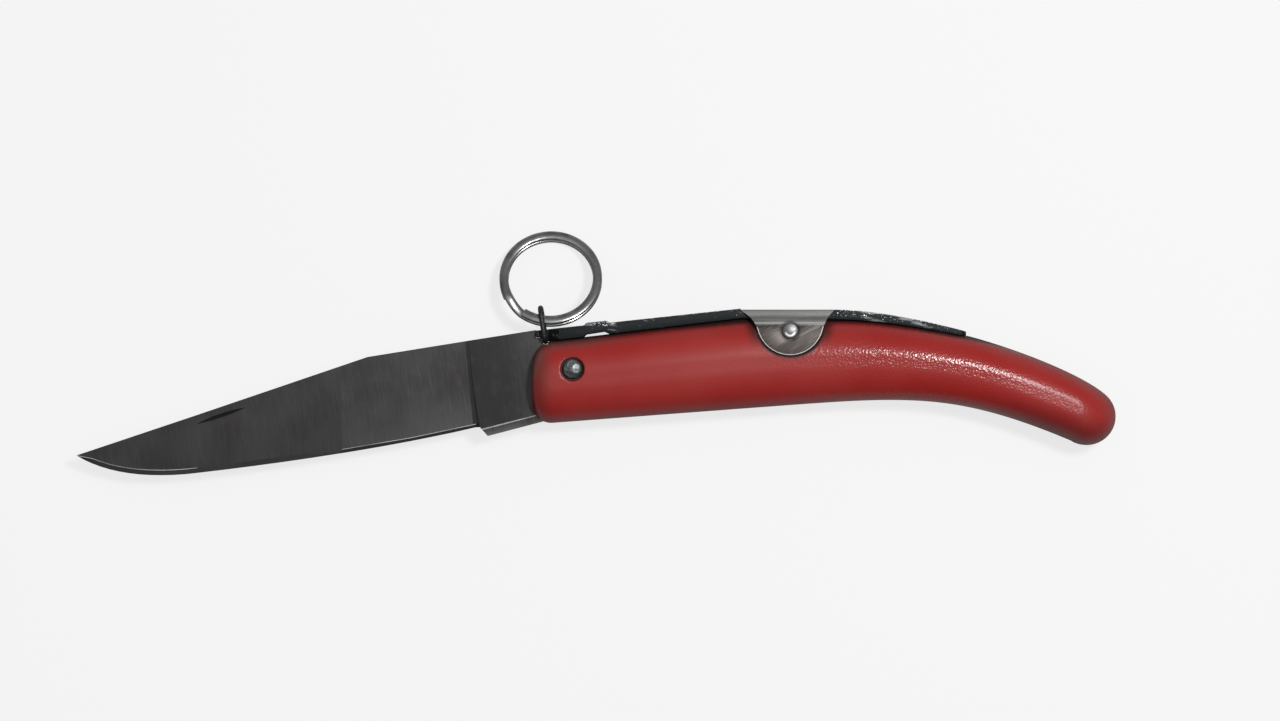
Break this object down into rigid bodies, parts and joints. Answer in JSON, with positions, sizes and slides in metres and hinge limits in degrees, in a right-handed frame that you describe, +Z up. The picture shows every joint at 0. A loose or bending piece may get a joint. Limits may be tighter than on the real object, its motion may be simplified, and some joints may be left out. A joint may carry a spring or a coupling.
{
  "type": "folding pocket knife",
  "caption": "Clip-point folding knife with a curved moulded handle, held open by a windowed back spring that is lifted with a pull ring.",
  "frame": {"origin": "middle of the whole knife's box, on the surface that it lies on", "axes": "+X from the blade's tip to the butt, +Y from the belly to the back spring, +Z up, across the knife's thickness"},
  "size_m": [0.2248, 0.053, 0.015],
  "materials": {
    "red_plastic": "satin moulded plastic with a fine pebble",
    "blade_steel": "dark brushed, brighter at the edge and the ricasso",
    "black_steel": "blackened, speckled",
    "bright_steel": "polished with handling scratches",
    "dark_wire": "dark drawn wire",
    "ring_steel": "bright"
  },
  "bodies": {
    "grip": {"handle": "red_plastic", "pivot_pin": "bright_steel", "spring_saddle": "bright_steel", "saddle_rivet": "bright_steel"},
    "blade": {"blade": "blade_steel"},
    "lock": {"lock_spring": "black_steel"},
    "link": {"ring_link": "dark_wire"},
    "ring": {"pull_ring": "ring_steel"}
  },
  "joints": [
    {"name": "blade_fold", "type": "hinge", "parent": "grip", "child": "blade", "pos_m": [-0.00505, -0.00354, 0.0075], "axis": [0, 0, 1], "range_deg": [0, 163]},
    {"name": "lock_lift", "type": "hinge", "parent": "grip", "child": "lock", "pos_m": [0.0313, 0.00851, 0.0075], "axis": [0, 0, -1], "range_deg": [0, 4], "stiffness_Nm_per_rad": 1.5, "deforming": ["lock_spring"]},
    {"name": "link_sway", "type": "hinge", "parent": "lock", "child": "link", "pos_m": [-0.011, 0.00236, 0.0075], "axis": [0, 0, 1], "range_deg": [-6, 6]},
    {"name": "ring_swing", "type": "hinge", "parent": "link", "child": "ring", "pos_m": [-0.00992, 0.00676, 0.00954], "axis": [1, 0, 0], "range_deg": [-45, 90]}
  ]
}
